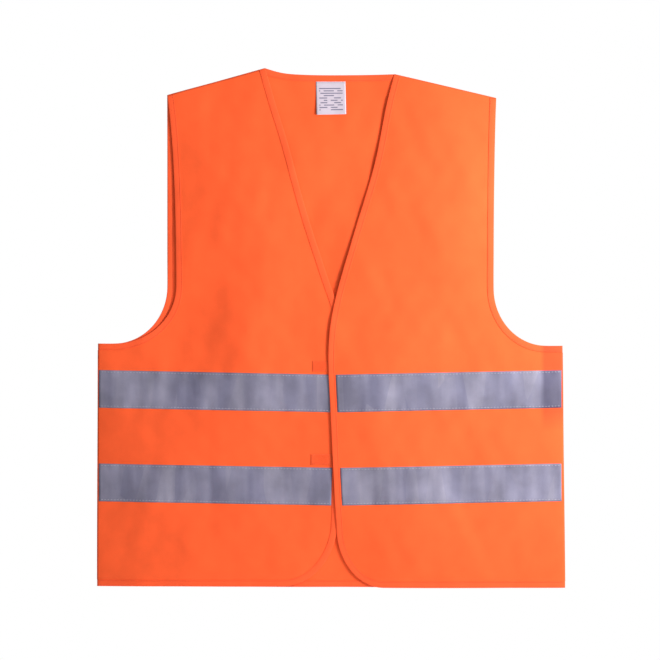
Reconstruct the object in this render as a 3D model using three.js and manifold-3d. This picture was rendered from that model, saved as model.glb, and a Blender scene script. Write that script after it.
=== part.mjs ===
// High visibility vest: an open-fronted sleeveless garment in bright orange knitted cloth, with
// two reflective tapes round the body, bound edges, and a front that closes left over right
// with hook and loop patches.
//
// Frame, in millimetres: +X to the wearer's left, +Z up, the front faces -Y. The origin is the
// middle of the neck opening, at the height of the right shoulder's neck point, where a hanger
// carries the vest. The vest hangs flat, so each layer of cloth lies in its own XZ plane.
//
// Left and right pieces are drawn in (u, z), where u is the distance from the centre line
// towards the piece's own side seam, and are placed with x = side * u.

import * as THREE from 'three';
import { mergeVertices } from 'three/addons/utils/BufferGeometryUtils.js';
import Module from 'manifold-3d';

// Cloth, binding, tape and patches
const CLOTH = 0.8; // thickness of a panel
const LEAF = 0.5; // thickness of one leaf of the folded binding
const GAP = 0.3; // clearance between pieces that touch
const BINDING_WIDTH = 9;
const SEAM_WIDTH = 8; // seam allowance left inside at the shoulders and sides
const TAPE_THICKNESS = 0.6;
const PATCH_THICKNESS = 1.0;
const PATCH_WIDTH = 28;
const PATCH_HEIGHT = 14;
const TAPE_INSET = 1; // from a side seam to the end of a tape
const SEAM_FOOT_INSET = 0.5; // the side seam's allowance flares less than the side
const ARMHOLE_FLARE = 4; // how far the armhole opens from its straight part to the shoulder

// Middle plane of each layer of cloth along Y: the left front lies over the right one
const BACK_Y = 6.4;
const RIGHT_FRONT_Y = -2.4;
const LEFT_FRONT_Y = -6.4;

// Heights shared by both sides
const TAPE_WIDTH = 49.5;
const UPPER_TAPE = { atSide: -397.5, atCentre: -403.5 }; // top edges
const LOWER_TAPE = { atSide: -520.5, atCentre: -526 };
const PATCH_LIFT = 4; // from a tape's top edge at the centre up to the patch above it

// Short runs of binding that carry an armhole's binding from the front to the back
const BRIDGE = BINDING_WIDTH / 2;
const BRIDGE_DROP = BRIDGE / 2; // below the shoulder line and below the underarm
const TIP_INSET = 0.6 * BRIDGE; // in from the shoulder tip

// Limits of the areas that trim the pieces, all of them clear of the vest
const TRIM_TOP = 20;
const TRIM_FOOT = -720;
const TRIM_INNER = -60; // beyond the centre line
const TRIM_OUTER = 400;
const TRIM_DEPTH = 5; // in front of and behind the outer layers
const NECK_TRIM = 14; // above the middle of the back neckline
const RUN_OUT = 4; // a binding is drawn this far past its edge's ends, then trimmed
const SLOT_OVERRUN = 2; // the slot for the cloth runs this far out of the binding

// Straight segments in each curve
const FRONT_STEPS = 30;
const CORNER_STEPS = 8;
const UNDERARM_STEPS = 10;
const ARMHOLE_STEPS = 8;
const NECK_STEPS = 12;

// The wearer's left side, which carries the overlapping front
const LEFT = {
  side: 1,
  name: 'left',
  frontY: LEFT_FRONT_Y,
  neck: [84, -8],
  tip: [218.5, -39.5],
  frontWall: 215, // straight part of the armhole, on the front and on the back
  backWall: 213.5,
  armholeTurn: -290, // where the armhole starts to curve out to the side seam
  underarm: [284, -365.5],
  seamTop: 305.5,
  seamFoot: 309,
  hem: -684,
  frontEdge: [
    [84, -8],
    [73, -52],
    [57.5, -129],
    [30, -221],
    [6, -306],
    [-2.6, -368],
    [0, -450],
    [5, -555],
  ],
  hemCornerTop: [8, -604],
  hemCornerFoot: [70, -684],
};

// The wearer's right side, whose front lies under the other
const RIGHT = {
  side: -1,
  name: 'right',
  frontY: RIGHT_FRONT_Y,
  neck: [85.5, 0],
  tip: [214.5, -36],
  frontWall: 203,
  backWall: 214.5,
  armholeTurn: -287,
  underarm: [284, -362.5],
  seamTop: 305.5,
  seamFoot: 307,
  hem: -682,
  frontEdge: [
    [85.5, 0],
    [73, -44],
    [56, -99],
    [31.5, -189],
    [6, -268],
    [-11, -322],
    [-14, -380],
    [-13, -480],
  ],
  hemCornerTop: [-10, -592],
  hemCornerFoot: [62, -682],
};

const NECKLINE = [[84, -8], [40, -8.8], [-20, -8.8], [-60, -6.5], [-85.5, 0]]; // across the back

// Care label, sewn in below the back neckline
const LABEL = { left: -19, right: 20, top: -18.6, foot: -60.5, thickness: 0.5 };

const ORANGE = { color: 0xfd6a3c, roughness: 0.85, metalness: 0 };
const BINDING_ORANGE = { color: 0xf85f3a, roughness: 0.8, metalness: 0 };
const SEAM_ORANGE = { color: 0xd94f28, roughness: 0.9, metalness: 0 };
const SILVER = { color: 0x9a98b2, roughness: 0.45, metalness: 0.3 };
const PATCH_ORANGE = { color: 0xe85530, roughness: 0.95, metalness: 0 };
const LABEL_WHITE = { color: 0xe6e2ee, roughness: 0.7, metalness: 0 };

const wasm = await Module();
wasm.setup();

const vest = new THREE.Group();
vest.name = 'high_visibility_vest';

// ---- Curves in the cloth's plane ----

const vectors = (points) => points.map(([u, z]) => new THREE.Vector2(u, z));

const rectangle = (inner, outer, top, foot) => vectors([
  [inner, top],
  [outer, top],
  [outer, foot],
  [inner, foot],
]);

function smooth(points, steps) {
  return new THREE.SplineCurve(vectors(points)).getPoints(steps);
}

// Quarter ellipse from (startU, startZ) to (endU, endZ). It leaves its start vertically or
// horizontally, and arrives at a right angle to that.
function quarter(start, end, steps, leavesVertically) {
  const [startU, startZ] = start;
  const [endU, endZ] = end;
  const points = [];
  for (let i = 1; i <= steps; i += 1) {
    const angle = (i / steps) * (Math.PI / 2);
    const along = Math.sin(angle);
    const across = 1 - Math.cos(angle);
    const shareU = leavesVertically ? across : along;
    const shareZ = leavesVertically ? along : across;
    const u = startU + (endU - startU) * shareU;
    const z = startZ + (endZ - startZ) * shareZ;
    points.push(new THREE.Vector2(u, z));
  }
  return points;
}

// Moves a polyline sideways, to the left of its direction of travel
function offset(points, distance) {
  return points.map((point, i) => {
    const before = points[Math.max(i - 1, 0)];
    const after = points[Math.min(i + 1, points.length - 1)];
    const along = after.clone().sub(before).normalize();
    return new THREE.Vector2(point.x - along.y * distance, point.y + along.x * distance);
  });
}

// Lengthens a polyline at both ends, along its own direction there
function extend(points, length) {
  const last = points.length - 1;
  const head = points[0].clone().sub(points[1]).setLength(length).add(points[0]);
  const tail = points[last].clone().sub(points[last - 1]).setLength(length).add(points[last]);
  return [head, ...points, tail];
}

// Where a polyline that runs downwards is at height z
function crossing(points, z) {
  const i = points.findIndex((point, k) => k > 0 && point.y <= z);
  const [above, below] = [points[i - 1], points[i]];
  return above.x + ((z - above.y) / (below.y - above.y)) * (below.x - above.x);
}

// ---- Edges of each side, each with the cloth on its left ----

// Down the front opening, round the hem corner and along the hem to the side seam
function frontEdge(of) {
  const down = smooth([...of.frontEdge, of.hemCornerTop], FRONT_STEPS);
  const corner = quarter(of.hemCornerTop, of.hemCornerFoot, CORNER_STEPS, true);
  return [...down, ...corner, new THREE.Vector2(of.seamFoot, of.hem)];
}

// From the side seam up round the armhole to the shoulder tip
function armhole(of, wall) {
  const under = new THREE.Vector2(of.seamTop, of.underarm[1]);
  const start = new THREE.Vector2(...of.underarm);
  const curve = quarter(of.underarm, [wall, of.armholeTurn], UNDERARM_STEPS, false);
  const control = new THREE.Vector2(wall, (of.armholeTurn + 2 * of.tip[1]) / 3);
  const top = new THREE.QuadraticBezierCurve(
    new THREE.Vector2(wall, of.armholeTurn),
    control,
    new THREE.Vector2(...of.tip),
  );
  return [under, start, ...curve, ...top.getPoints(ARMHOLE_STEPS).slice(1)];
}

const shoulderHeight = (of, u) => {
  const slope = (of.tip[1] - of.neck[1]) / (of.tip[0] - of.neck[0]);
  return of.neck[1] + slope * (u - of.neck[0]);
};

// The area below the shoulder line and inside the side seam, which trims what is sewn to them
function sideTrim(of) {
  return vectors([
    [TRIM_INNER, shoulderHeight(of, TRIM_INNER)],
    [of.seamTop, shoulderHeight(of, of.seamTop)],
    [of.seamTop, of.underarm[1]],
    [of.seamFoot, of.hem],
    [of.seamFoot, TRIM_FOOT],
    [TRIM_INNER, TRIM_FOOT],
  ]);
}

const mirrored = (points, side) => points.map((point) => new THREE.Vector2(side * point.x, point.y));

// ---- Solids ----

// A plate with the given outline, from nearY (front) to farY (back)
function plate(outline, nearY, farY) {
  const geometry = new THREE.ExtrudeGeometry(new THREE.Shape(outline), {
    depth: farY - nearY,
    bevelEnabled: false,
  });
  geometry.rotateX(Math.PI / 2).translate(0, farY, 0);
  geometry.deleteAttribute('normal');
  geometry.deleteAttribute('uv');
  const merged = mergeVertices(geometry, 1e-4);
  const vertProperties = new Float32Array(merged.attributes.position.array);
  const triVerts = new Uint32Array(merged.index.array);
  return new wasm.Manifold(new wasm.Mesh({ numProp: 3, vertProperties, triVerts }));
}

// The strip between two offsets of an edge
const strip = (edge, near, far) => [...offset(edge, near), ...offset(edge, far).reverse()];

// Binding folded over an edge: two leaves and the fold, with the cloth's place left open
function binding(edge, side, middleY) {
  const half = CLOTH / 2 + GAP;
  const outer = strip(extend(edge, RUN_OUT), 0, BINDING_WIDTH);
  const slot = strip(extend(edge, 2 * RUN_OUT), LEAF, BINDING_WIDTH + SLOT_OVERRUN);
  const whole = plate(mirrored(outer, side), middleY - half - LEAF, middleY + half + LEAF);
  return whole.subtract(plate(mirrored(slot, side), middleY - half, middleY + half));
}

function trimmed(solid, outline) {
  return solid.intersect(plate(outline, LEFT_FRONT_Y - TRIM_DEPTH, BACK_Y + TRIM_DEPTH));
}

// The part of a solid whose u lies between two values
function between(solid, side, low, high) {
  return trimmed(solid, mirrored(rectangle(low, high, TRIM_TOP, TRIM_FOOT), side));
}

function add(name, solid, finish) {
  const mesh = solid.getMesh();
  const geometry = new THREE.BufferGeometry();
  geometry.setAttribute('position', new THREE.BufferAttribute(new Float32Array(mesh.vertProperties), 3));
  geometry.setIndex(new THREE.BufferAttribute(new Uint32Array(mesh.triVerts), 1));
  geometry.computeVertexNormals();
  const piece = new THREE.Mesh(geometry, new THREE.MeshStandardMaterial(finish));
  piece.name = name;
  vest.add(piece);
}

// The front folds open along a vertical line through the neck point, so what crosses that line
// is a flap piece and a side piece
function addAcrossFold(of, flapName, sideName, solid, finish) {
  const fold = of.neck[0];
  add(flapName, between(solid, of.side, TRIM_INNER, fold - GAP / 2), finish);
  add(sideName, between(solid, of.side, fold + GAP / 2, TRIM_OUTER), finish);
}

// ---- Front panels, their bindings, tapes and patches ----

const INSET = LEAF + GAP; // from a bound edge of the garment to the cloth inside its binding

function frontPanel(of) {
  const outline = [
    ...offset(frontEdge(of), INSET),
    new THREE.Vector2(of.seamTop, of.underarm[1]),
    ...offset(armhole(of, of.frontWall), INSET),
  ];
  const sheet = plate(mirrored(outline, of.side), of.frontY - CLOTH / 2, of.frontY + CLOTH / 2);
  addAcrossFold(of, `${of.name}_front_flap`, `${of.name}_front_side`, sheet, ORANGE);
}

function frontBinding(of) {
  const whole = trimmed(binding(frontEdge(of), of.side, of.frontY), mirrored(sideTrim(of), of.side));
  const middle = (of.neck[1] + of.hem) / 2;
  const fold = of.neck[0];
  const opening = between(whole, of.side, TRIM_INNER, fold - GAP / 2);
  add(`${of.name}_front_edge_binding`, opening, BINDING_ORANGE);
  const rest = between(whole, of.side, fold + GAP / 2, TRIM_OUTER);
  const upper = mirrored(rectangle(0, TRIM_OUTER, TRIM_TOP, middle), of.side);
  const lower = mirrored(rectangle(0, TRIM_OUTER, middle, TRIM_FOOT), of.side);
  add(`${of.name}_neck_binding`, trimmed(rest, upper), BINDING_ORANGE);
  add(`${of.name}_hem_binding`, trimmed(rest, lower), BINDING_ORANGE);
}

// A tape ends beside the front binding at one end and at the side seam at the other
function frontTape(of, level, tape) {
  const inner = offset(frontEdge(of), BINDING_WIDTH + GAP);
  const outer = of.seamTop - TAPE_INSET;
  const outline = vectors([
    [crossing(inner, tape.atCentre), tape.atCentre],
    [outer, tape.atSide],
    [outer, tape.atSide - TAPE_WIDTH],
    [crossing(inner, tape.atCentre - TAPE_WIDTH), tape.atCentre - TAPE_WIDTH],
  ]);
  const farY = of.frontY - CLOTH / 2 - GAP;
  const solid = plate(mirrored(outline, of.side), farY - TAPE_THICKNESS, farY);
  addAcrossFold(of, `${of.name}_${level}_tape_flap`, `${of.name}_${level}_tape_side`, solid, SILVER);
}

// A patch sits just above a tape, beside the binding: hooks inside the left front, loops
// outside the right one
function patch(of, name, tape) {
  const inner = offset(frontEdge(of), BINDING_WIDTH + GAP);
  const foot = tape.atCentre + PATCH_LIFT;
  const start = Math.max(crossing(inner, foot), crossing(inner, foot + PATCH_HEIGHT)) + GAP;
  const outline = rectangle(start, start + PATCH_WIDTH, foot + PATCH_HEIGHT, foot);
  const face = CLOTH / 2 + GAP;
  const nearY = of === LEFT ? of.frontY + face : of.frontY - face - PATCH_THICKNESS;
  add(name, plate(mirrored(outline, of.side), nearY, nearY + PATCH_THICKNESS), PATCH_ORANGE);
}

// ---- Seams and armholes, which join a front to the back ----

// Seam allowances lie between the two layers of cloth
function seams(of) {
  const nearY = of.frontY + CLOTH / 2 + GAP;
  const farY = BACK_Y - CLOTH / 2 - GAP;
  const shoulderStart = of.neck[0] + 2 * BINDING_WIDTH;
  const shoulderEnd = Math.min(of.tip[0], of.frontWall + ARMHOLE_FLARE) - 2 * BINDING_WIDTH;
  const shoulder = vectors([
    [shoulderStart, shoulderHeight(of, shoulderStart)],
    [shoulderEnd, shoulderHeight(of, shoulderEnd)],
    [shoulderEnd, shoulderHeight(of, shoulderEnd) - SEAM_WIDTH],
    [shoulderStart, shoulderHeight(of, shoulderStart) - SEAM_WIDTH],
  ]);
  add(`${of.name}_shoulder_seam`, plate(mirrored(shoulder, of.side), nearY, farY), SEAM_ORANGE);
  const top = of.underarm[1] - BINDING_WIDTH - GAP;
  const foot = of.hem + BINDING_WIDTH + GAP;
  const footU = of.seamFoot - SEAM_FOOT_INSET;
  const seam = vectors([
    [of.seamTop, top],
    [footU, foot],
    [footU - SEAM_WIDTH, foot],
    [of.seamTop - SEAM_WIDTH, top],
  ]);
  add(`${of.name}_side_seam`, plate(mirrored(seam, of.side), nearY, farY), SEAM_ORANGE);
}

// One binding runs all the way round an armhole: down the front, across the side seam, up the
// back and across the shoulder seam
function armholeBinding(of) {
  const front = binding(armhole(of, of.frontWall), of.side, of.frontY);
  const back = binding(armhole(of, of.backWall), of.side, BACK_Y);
  const nearY = of.frontY + CLOTH / 2 + GAP + LEAF / 2;
  const farY = BACK_Y - CLOTH / 2 - GAP - LEAF / 2;
  const tipU = of.tip[0] - TIP_INSET;
  const tipZ = of.tip[1] - BRIDGE_DROP;
  const atShoulder = rectangle(tipU - BRIDGE, tipU, tipZ, tipZ - BRIDGE);
  const sideZ = of.underarm[1] - BRIDGE_DROP;
  const atSide = rectangle(of.seamTop - BINDING_WIDTH, of.seamTop, sideZ, sideZ - BRIDGE);
  const loop = front
    .add(back)
    .add(plate(mirrored(atShoulder, of.side), nearY, farY))
    .add(plate(mirrored(atSide, of.side), nearY, farY));
  add(`${of.name}_armhole_binding`, trimmed(loop, mirrored(sideTrim(of), of.side)), BINDING_ORANGE);
}

for (const of of [LEFT, RIGHT]) {
  frontPanel(of);
  frontBinding(of);
  frontTape(of, 'upper', UPPER_TAPE);
  frontTape(of, 'lower', LOWER_TAPE);
  seams(of);
  armholeBinding(of);
}
patch(LEFT, 'upper_hook_patch', UPPER_TAPE);
patch(LEFT, 'lower_hook_patch', LOWER_TAPE);
patch(RIGHT, 'upper_loop_patch', UPPER_TAPE);
patch(RIGHT, 'lower_loop_patch', LOWER_TAPE);

// ---- Back ----

const backHem = vectors([[-RIGHT.seamFoot, RIGHT.hem], [LEFT.seamFoot, LEFT.hem]]);
const backNeck = smooth(NECKLINE, NECK_STEPS);
const leftBackArmhole = armhole(LEFT, LEFT.backWall);
const rightBackArmhole = mirrored(armhole(RIGHT, RIGHT.backWall), RIGHT.side);

// The area below both shoulder lines and between both side seams
const backTrim = vectors([
  [0, NECK_TRIM],
  [LEFT.seamTop, shoulderHeight(LEFT, LEFT.seamTop)],
  [LEFT.seamTop, LEFT.underarm[1]],
  [LEFT.seamFoot, TRIM_FOOT],
  [-RIGHT.seamFoot, TRIM_FOOT],
  [-RIGHT.seamTop, RIGHT.underarm[1]],
  [-RIGHT.seamTop, shoulderHeight(RIGHT, RIGHT.seamTop)],
]);

const backOutline = [
  ...offset(backHem, INSET),
  new THREE.Vector2(LEFT.seamTop, LEFT.underarm[1] - INSET),
  ...offset(leftBackArmhole, INSET).slice(1),
  ...offset(backNeck, INSET),
  ...offset(rightBackArmhole.slice().reverse(), INSET).slice(0, -1),
  new THREE.Vector2(-RIGHT.seamTop, RIGHT.underarm[1] - INSET),
];
add('back_panel', plate(backOutline, BACK_Y - CLOTH / 2, BACK_Y + CLOTH / 2), ORANGE);
add('back_hem_binding', trimmed(binding(backHem, 1, BACK_Y), backTrim), BINDING_ORANGE);
add('back_neck_binding', trimmed(binding(backNeck, 1, BACK_Y), backTrim), BINDING_ORANGE);

function backTape(level, tape) {
  const nearY = BACK_Y + CLOTH / 2 + GAP;
  const top = tape.atSide;
  const [low, high] = [TAPE_INSET - RIGHT.seamTop, LEFT.seamTop - TAPE_INSET];
  const outline = rectangle(low, high, top, top - TAPE_WIDTH);
  add(`back_${level}_tape`, plate(outline, nearY, nearY + TAPE_THICKNESS), SILVER);
}
backTape('upper', UPPER_TAPE);
backTape('lower', LOWER_TAPE);

// ---- Care label ----

const labelFar = BACK_Y - CLOTH / 2 - GAP;
const labelOutline = rectangle(LABEL.left, LABEL.right, LABEL.top, LABEL.foot);
add('care_label', plate(labelOutline, labelFar - LABEL.thickness, labelFar), LABEL_WHITE);

export default vest;
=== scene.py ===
"""High visibility vest: the looks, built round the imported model.

The vest hangs flat in the XZ plane with its front towards -Y. Each panel of cloth is one thin
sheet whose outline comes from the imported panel, and whose depth is a smooth function of x and z.
Tapes, bindings, patches, seams and stitches take their place from the same function, so they lie
on the cloth that they are sewn to. Lengths are in millimetres until a mesh is made.
"""

import math

import bpy
import numpy as np
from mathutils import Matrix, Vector
from mathutils.geometry import delaunay_2d_cdt


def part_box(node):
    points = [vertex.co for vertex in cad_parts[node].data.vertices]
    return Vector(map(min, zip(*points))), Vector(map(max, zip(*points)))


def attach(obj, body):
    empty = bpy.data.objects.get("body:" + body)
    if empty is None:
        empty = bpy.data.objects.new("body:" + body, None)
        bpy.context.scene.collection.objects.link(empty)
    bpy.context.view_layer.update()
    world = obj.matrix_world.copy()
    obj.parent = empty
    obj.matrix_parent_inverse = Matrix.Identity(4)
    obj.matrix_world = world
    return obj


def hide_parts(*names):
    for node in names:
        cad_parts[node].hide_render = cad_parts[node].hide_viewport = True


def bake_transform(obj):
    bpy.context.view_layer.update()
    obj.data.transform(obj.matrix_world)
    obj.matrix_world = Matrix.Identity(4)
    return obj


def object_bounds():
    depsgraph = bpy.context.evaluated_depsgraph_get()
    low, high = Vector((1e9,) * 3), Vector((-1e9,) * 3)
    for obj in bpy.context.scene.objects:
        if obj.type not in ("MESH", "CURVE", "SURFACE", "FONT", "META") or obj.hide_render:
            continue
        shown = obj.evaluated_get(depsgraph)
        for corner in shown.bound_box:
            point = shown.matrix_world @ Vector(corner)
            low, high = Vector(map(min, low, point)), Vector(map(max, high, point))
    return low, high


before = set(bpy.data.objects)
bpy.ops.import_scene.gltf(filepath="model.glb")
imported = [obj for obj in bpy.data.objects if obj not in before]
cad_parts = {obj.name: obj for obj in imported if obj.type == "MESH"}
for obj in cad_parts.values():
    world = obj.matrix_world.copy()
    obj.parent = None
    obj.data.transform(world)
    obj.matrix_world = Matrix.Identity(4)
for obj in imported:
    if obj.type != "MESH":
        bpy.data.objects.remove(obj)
cad_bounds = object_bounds()

MM = 0.001
CLOTH = 0.45  # thickness of the knitted cloth
LEAF = 0.3  # thickness of one leaf of the binding
LEAF_WIDTH = 7.6  # how far a leaf reaches over the cloth
FOLD_OVER = 0.8  # how far the binding stands past the cloth's edge
TAPE = 0.3  # thickness of the reflective tape
PATCH = 0.45  # thickness of the backing of a hook or loop patch
LABEL = 0.22  # thickness of the label's ribbon
SEAM_DEPTH = 8  # how far a seam's allowances reach inwards
BEND = 9  # width of the cloth that bends where a front folds open
ROLLED = 2.2  # how far from a seam the cloth starts to roll in to it
THREAD = 0.36  # thickness of the sewing thread
NEAR = 0.03  # clearance between sewn layers
GRID = 5.5  # between the points of a panel
STITCH_LINE = 6.4  # from the cloth's edge to a binding's stitches
TAPE_STITCH_LINE = 2.3  # from a tape's edge to its stitches
CORNER = 38  # degrees of turn that make a corner of an outline
SIDE_OUT = 295  # the side edges lie further out than this
SIDE_LEAN = 20  # and lean less than this
HIGH = -60  # the shoulders and the back of the neck lie above this
SHOULDER_OUT = 150  # the shoulders reach further out than this
ARMHOLE_IN = (150, 250)  # how near to the middle an armhole comes

rng = np.random.default_rng(20)


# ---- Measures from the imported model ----


def corners(node):
    """A CAD node's lowest and highest corners, in millimetres."""
    low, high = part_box(node)
    return np.array(low) / MM, np.array(high) / MM


def outline(node):
    """The outline of a flat CAD plate seen from the front, anticlockwise, as rows of x and z."""
    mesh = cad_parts[node].data
    points = np.array([v.co for v in mesh.vertices]) / MM
    tolerance = 0.05
    front = points[:, 1].min() + tolerance
    once = {}  # the edges that only one polygon has, in the order they are found
    for polygon in mesh.polygons:
        if all(points[i][1] < front for i in polygon.vertices):
            ring = [tuple(np.round(points[i][[0, 2]], 2)) for i in polygon.vertices]
            for a, b in zip(ring, ring[1:] + ring[:1]):
                if (b, a) in once:
                    del once[(b, a)]
                else:
                    once[(a, b)] = True
    after = dict(once.keys())
    start = next(iter(after))
    loop, at = [start], after[start]
    while at != start:
        loop.append(at)
        at = after[at]
    loop = np.array(loop)
    x, z = loop.T
    turned = np.sum(x * np.roll(z, -1) - z * np.roll(x, -1)) < 0
    return loop[::-1] if turned else loop


def across_fold(flap, side):
    """One outline from the two plates that meet at a fold line, and where the line is."""
    tolerance = 0.5
    boxes = sorted((corners(flap), corners(side)), key=lambda box: box[0][0])
    fold = (boxes[0][1][0] + boxes[1][0][0]) / 2
    chains = []
    for node in (flap, side):
        loop = outline(node)
        free = np.abs(loop[:, 0] - fold) > tolerance
        start = next(i for i in range(len(loop)) if free[i] and not free[i - 1])
        chains.append(np.roll(loop, -start, axis=0)[np.roll(free, -start)])
    return np.concatenate(chains), fold


def split(loop, extra=()):
    """Cuts an outline at its corners, and at the points nearest to the extra ones. Of two points
    that are hardly apart, the upper one is left out."""
    steps = np.roll(loop, -1, axis=0) - loop
    short = np.hypot(*steps.T) < 1
    upper = np.where(steps[:, 1] > 0, np.arange(len(loop)) + 1, np.arange(len(loop)))
    loop = np.delete(loop, upper[short] % len(loop), axis=0)
    ahead = np.roll(loop, -1, axis=0) - loop
    behind = loop - np.roll(loop, 1, axis=0)
    cross = behind[:, 0] * ahead[:, 1] - behind[:, 1] * ahead[:, 0]
    dot = (behind * ahead).sum(1)
    cuts = set(np.flatnonzero(np.abs(np.arctan2(cross, dot)) > math.radians(CORNER)))
    for point in extra:
        cuts.add(int(np.argmin(((loop - point) ** 2).sum(1))))
    cuts = sorted(cuts)
    chains = []
    for a, b in zip(cuts, cuts[1:] + [cuts[0] + len(loop)]):
        chains.append(loop[np.arange(a, b + 1) % len(loop)])
    return chains


def even(chain, spacing, finely=None):
    """The chain again as a smooth curve with points about spacing apart. Between the two values
    of x in finely, they are a millimetre apart."""
    steps = np.linalg.norm(np.diff(chain, axis=0), axis=1)
    at = np.concatenate([[0], np.cumsum(steps)])
    wanted = np.linspace(0, at[-1], max(2, round(at[-1] / spacing) + 1))
    if finely is not None:
        dense = np.linspace(0, at[-1], max(2, round(at[-1]) + 1))
        x = np.interp(dense, at, chain[:, 0])
        wanted = np.union1d(wanted, dense[(x > finely[0]) & (x < finely[1])])
        least = 0.4
        wanted = wanted[np.concatenate([[True], np.diff(wanted) > least])]
    i = np.clip(np.searchsorted(at, wanted, side="right") - 1, 0, len(chain) - 2)
    padded = np.concatenate([[2 * chain[0] - chain[1]], chain, [2 * chain[-1] - chain[-2]]])
    gaps = np.concatenate([[steps[0]], steps, [steps[-1]]])
    before, a, b, after = (padded[i + k] for k in range(4))
    h = gaps[i + 1][:, None]
    slope_a = (b - before) / (gaps[i] + gaps[i + 1])[:, None] * h
    slope_b = (after - a) / (gaps[i + 1] + gaps[i + 2])[:, None] * h
    t = ((wanted - at[i]) / gaps[i + 1])[:, None]
    return (
        (2 * t**3 - 3 * t**2 + 1) * a
        + (t**3 - 2 * t**2 + t) * slope_a
        + (3 * t**2 - 2 * t**3) * b
        + (t**3 - t**2) * slope_b
    )


def inward(chain, distance):
    """The chain moved to its left, which is where the cloth is."""
    along = np.gradient(chain, axis=0)
    along /= np.linalg.norm(along, axis=1)[:, None]
    return chain + np.stack([-along[:, 1], along[:, 0]], axis=1) * distance


# ---- How the cloth hangs ----


def step(value, low, high):
    """0 up to the low value, 1 from the high one, and a smooth rise between them."""
    t = np.clip((value - low) / (high - low), 0, 1)
    return t * t * (3 - 2 * t)


def ease(distance, reach):
    """0 at no distance, and close to 1 at a few times the reach."""
    return 1 - np.exp(-distance / reach)


def away(x, z, chains):
    """Distance from each point to the nearest of the chains."""
    best = np.full(np.shape(x), np.inf)
    for chain in chains:
        for a, b in zip(chain[:-1], chain[1:]):
            d = b - a
            t = np.clip(((x - a[0]) * d[0] + (z - a[1]) * d[1]) / (d @ d + 1e-9), 0, 1)
            best = np.minimum(best, np.hypot(x - a[0] - t * d[0], z - a[1] - t * d[1]))
    return best


class Waves:
    """A sum of sine waves in different directions, like the soft waves of hanging cloth."""

    def __init__(self, count, shortest, longest, steepness):
        self.length = rng.uniform(shortest, longest, count)
        self.angle = rng.uniform(-0.9, 0.9, count)
        self.phase = rng.uniform(0, 2 * math.pi, count)
        self.height = steepness * self.length / (2 * math.pi)

    def __call__(self, x, z):
        total = np.zeros(np.shape(x))
        for length, angle, phase, height in zip(self.length, self.angle, self.phase, self.height):
            along = x * math.cos(angle) + z * math.sin(angle)
            total += height * np.sin(along * 2 * math.pi / length + phase)
        return total


SOFT_WAVES = Waves(9, 80, 260, 0.02)
PRESS_LINES = ((-247, -0.4), (-158, 0.35), (146, -0.35), (240, 0.4))  # x and height
PRESS_WIDTH = 8
NECK_DEPTH = 5.25  # how far back the cloth lies where the label is sewn
NECK_ACROSS, NECK_DOWN = 90, 80  # how far from there it comes forward again
LEFT_RIDGE, RIGHT_RIDGE, RIDGE_WIDTH = 2.4, 0.9, 60  # of the lines where the fronts fold open
LEFT_LOOP, LEFT_FOLD = across_fold("left_front_flap", "left_front_side")
RIGHT_LOOP, RIGHT_FOLD = across_fold("right_front_flap", "right_front_side")
BACK_LOOP = outline("back_panel")
LABEL_BOX = corners("care_label")


def shared(x, z):
    """Depth of the whole stack of cloth: it lies back at the neck, where the label is sewn, and
    stands forward along the lines where the fronts fold open. It keeps the lines in which the
    vest was folded for packing."""
    down = (z - LABEL_BOX[1][2]) / NECK_DOWN
    near_label = np.exp(-((x / NECK_ACROSS) ** 4) - down**2)
    left_ridge = LEFT_RIDGE * np.exp(-(((x - LEFT_FOLD) / RIDGE_WIDTH) ** 2))
    right_ridge = RIGHT_RIDGE * np.exp(-(((x - RIGHT_FOLD) / RIDGE_WIDTH) ** 2))
    ridges = (left_ridge + right_ridge) * step(-z, 70, 210)
    pressed = sum(rise * np.exp(-np.abs(x - at) / PRESS_WIDTH) for at, rise in PRESS_LINES)
    return NECK_DEPTH * near_label - ridges + pressed + SOFT_WAVES(x, z) * (1 - near_label)


class Band:
    """A reflective tape on one panel, between two slanting edges."""

    def __init__(self, *nodes):
        loop = across_fold(*nodes)[0] if len(nodes) == 2 else outline(nodes[0])
        middle = loop[:, 1].mean()
        upper, lower = loop[loop[:, 1] > middle], loop[loop[:, 1] <= middle]
        self.nodes = nodes
        self.top = np.array([upper[upper[:, 0].argmin()], upper[upper[:, 0].argmax()]])
        self.foot = np.array([lower[lower[:, 0].argmin()], lower[lower[:, 0].argmax()]])

    def edges(self, x):
        """The heights of its upper and lower edges."""
        return (
            np.interp(x, self.top[:, 0], self.top[:, 1]),
            np.interp(x, self.foot[:, 0], self.foot[:, 1]),
        )


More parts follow.
